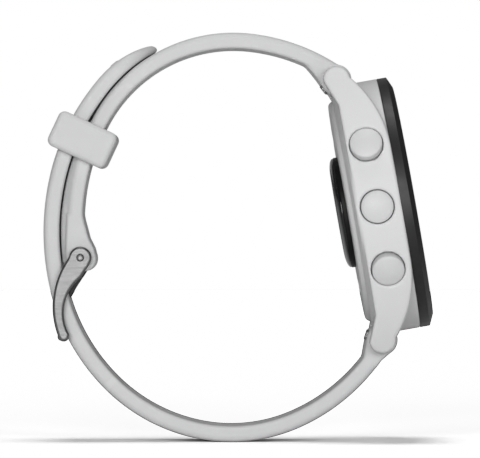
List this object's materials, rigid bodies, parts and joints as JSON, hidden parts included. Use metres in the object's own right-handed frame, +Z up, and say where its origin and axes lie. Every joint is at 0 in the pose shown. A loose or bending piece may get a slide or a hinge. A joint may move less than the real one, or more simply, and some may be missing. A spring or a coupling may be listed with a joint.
{
  "type": "gps running watch",
  "caption": "Round sports watch with side buttons, rear pulse sensor and a soft band closed by a pin buckle and keeper.",
  "frame": {"origin": "centre of the wrist opening", "axes": "+X the way the dial faces, level, with the dial leaning back 10 degrees; +Y toward 3 o'clock along the forearm; +Z up toward 12 o'clock"},
  "size_m": [0.0663, 0.0446, 0.0694],
  "materials": {
    "case_polymer": "fine matte polymer",
    "bezel_polymer": "satin black polymer",
    "lens_glass": "polished strengthened glass",
    "gasket": "soft adhesive foam",
    "display": "dark display panel",
    "flex_film": "polyimide film",
    "antenna_metal": "plated strip",
    "frame_polymer": "moulded carrier",
    "board": "solder mask",
    "tinned_steel": "tinned sheet",
    "cell_wrap": "cell pouch",
    "buzzer_body": "moulded",
    "motor_steel": "plated",
    "cover_polymer": "fine matte polymer",
    "seal_rubber": "smooth",
    "screw_steel": "turned",
    "sensor_ring": "dark moulded ring",
    "sensor_gloss": "polished",
    "led_epoxy": "clear epoxy",
    "contact_gold": "gold plated",
    "bush_steel": "turned",
    "button_polymer": "satin moulded cap",
    "spring_steel": "drawn wire",
    "band_silicone": "matte silicone",
    "bar_steel": "polished",
    "buckle_steel": "bead-blasted gunmetal"
  },
  "bodies": {
    "case": {"bezel": "bezel_polymer", "lens": "lens_glass", "lens_gasket": "gasket", "display_panel": "display", "display_flex": "flex_film", "antenna_ring": "antenna_metal", "case_shell": "case_polymer", "inner_frame": "frame_polymer", "main_board": "board", "shield_can": "tinned_steel", "battery": "cell_wrap", "buzzer": "buzzer_body", "vibration_motor": "motor_steel", "left_switches": "flex_film", "right_switches": "flex_film", "rear_cover": "cover_polymer", "rear_cover_seal": "seal_rubber", "rear_cover_screws": "screw_steel", "sensor_housing": "sensor_ring", "sensor_lens": "sensor_gloss", "sensor_board": "board", "sensor_leds": "led_epoxy", "charge_contacts": "contact_gold", "button_bushes": "bush_steel", "upper_strap": "band_silicone", "lower_strap": "band_silicone", "upper_spring_bar": "bar_steel", "lower_spring_bar": "bar_steel", "buckle_pin": "buckle_steel"},
    "button_left_top": {"button_left_top": "button_polymer", "seal_left_top": "seal_rubber", "clip_left_top": "screw_steel", "spring_left_top": "spring_steel"},
    "button_left_middle": {"button_left_middle": "button_polymer", "seal_left_middle": "seal_rubber", "clip_left_middle": "screw_steel", "spring_left_middle": "spring_steel"},
    "button_left_bottom": {"button_left_bottom": "button_polymer", "seal_left_bottom": "seal_rubber", "clip_left_bottom": "screw_steel", "spring_left_bottom": "spring_steel"},
    "button_right_top": {"button_right_top": "button_polymer", "seal_right_top": "seal_rubber", "clip_right_top": "screw_steel", "spring_right_top": "spring_steel"},
    "button_right_bottom": {"button_right_bottom": "button_polymer", "seal_right_bottom": "seal_rubber", "clip_right_bottom": "screw_steel", "spring_right_bottom": "spring_steel"},
    "upper_release": {"upper_release_pin": "bar_steel", "upper_release_spring": "spring_steel"},
    "lower_release": {"lower_release_pin": "bar_steel", "lower_release_spring": "spring_steel"},
    "buckle_frame": {"buckle_frame": "buckle_steel"},
    "buckle_tongue": {"buckle_tongue": "buckle_steel"},
    "keeper": {"keeper": "band_silicone"},
    "motor_weight": {"motor_weight": "motor_steel"}
  },
  "joints": [
    {"name": "button_left_top_press", "type": "slide", "parent": "case", "child": "button_left_top", "axis": [0.0815, 0.8829, -0.4623], "range_m": [0, 0.0006], "stiffness_N_per_m": 1200, "springref_m": -0.0006, "deforming": ["spring_left_top"]},
    {"name": "button_left_middle_press", "type": "slide", "parent": "case", "child": "button_left_middle", "axis": [0, 1, 0], "range_m": [0, 0.0006], "stiffness_N_per_m": 1200, "springref_m": -0.0006, "deforming": ["spring_left_middle"]},
    {"name": "button_left_bottom_press", "type": "slide", "parent": "case", "child": "button_left_bottom", "axis": [-0.0815, 0.8829, 0.4623], "range_m": [0, 0.0006], "stiffness_N_per_m": 1200, "springref_m": -0.0006, "deforming": ["spring_left_bottom"]},
    {"name": "button_right_top_press", "type": "slide", "parent": "case", "child": "button_right_top", "axis": [0.0815, -0.8829, -0.4623], "range_m": [0, 0.0006], "stiffness_N_per_m": 1200, "springref_m": -0.0006, "deforming": ["spring_right_top"]},
    {"name": "button_right_bottom_press", "type": "slide", "parent": "case", "child": "button_right_bottom", "axis": [-0.0815, -0.8829, 0.4623], "range_m": [0, 0.0006], "stiffness_N_per_m": 1200, "springref_m": -0.0006, "deforming": ["spring_right_bottom"]},
    {"name": "upper_release_slide", "type": "slide", "parent": "case", "child": "upper_release", "axis": [0, 1, 0], "range_m": [0, 0.0013], "stiffness_N_per_m": 900, "springref_m": -0.0012, "deforming": ["upper_release_spring"]},
    {"name": "lower_release_slide", "type": "slide", "parent": "case", "child": "lower_release", "axis": [0, 1, 0], "range_m": [0, 0.0013], "stiffness_N_per_m": 900, "springref_m": -0.0012, "deforming": ["lower_release_spring"]},
    {"name": "buckle_frame_swing", "type": "hinge", "parent": "case", "child": "buckle_frame", "pos_m": [-0.02207, 0, -0.00368], "axis": [0, 1, 0], "range_deg": [0, 3]},
    {"name": "buckle_tongue_swing", "type": "hinge", "parent": "case", "child": "buckle_tongue", "pos_m": [-0.02207, 0, -0.00368], "axis": [0, 1, 0], "range_deg": [0, 3]},
    {"name": "keeper_slide", "type": "hinge", "parent": "case", "child": "keeper", "pos_m": [0.0134, 0, 0.00238], "axis": [0, 1, 0], "range_deg": [-12, 12]},
    {"name": "motor_spin", "type": "hinge", "parent": "case", "child": "motor_weight", "pos_m": [0.02735, 0.0114, 0.00381], "axis": [0.9848, 0, 0.1736], "continuous": true}
  ],
  "couplings": [
    {"joint": "buckle_tongue_swing", "follows": "buckle_frame_swing", "ratio": 1}
  ]
}
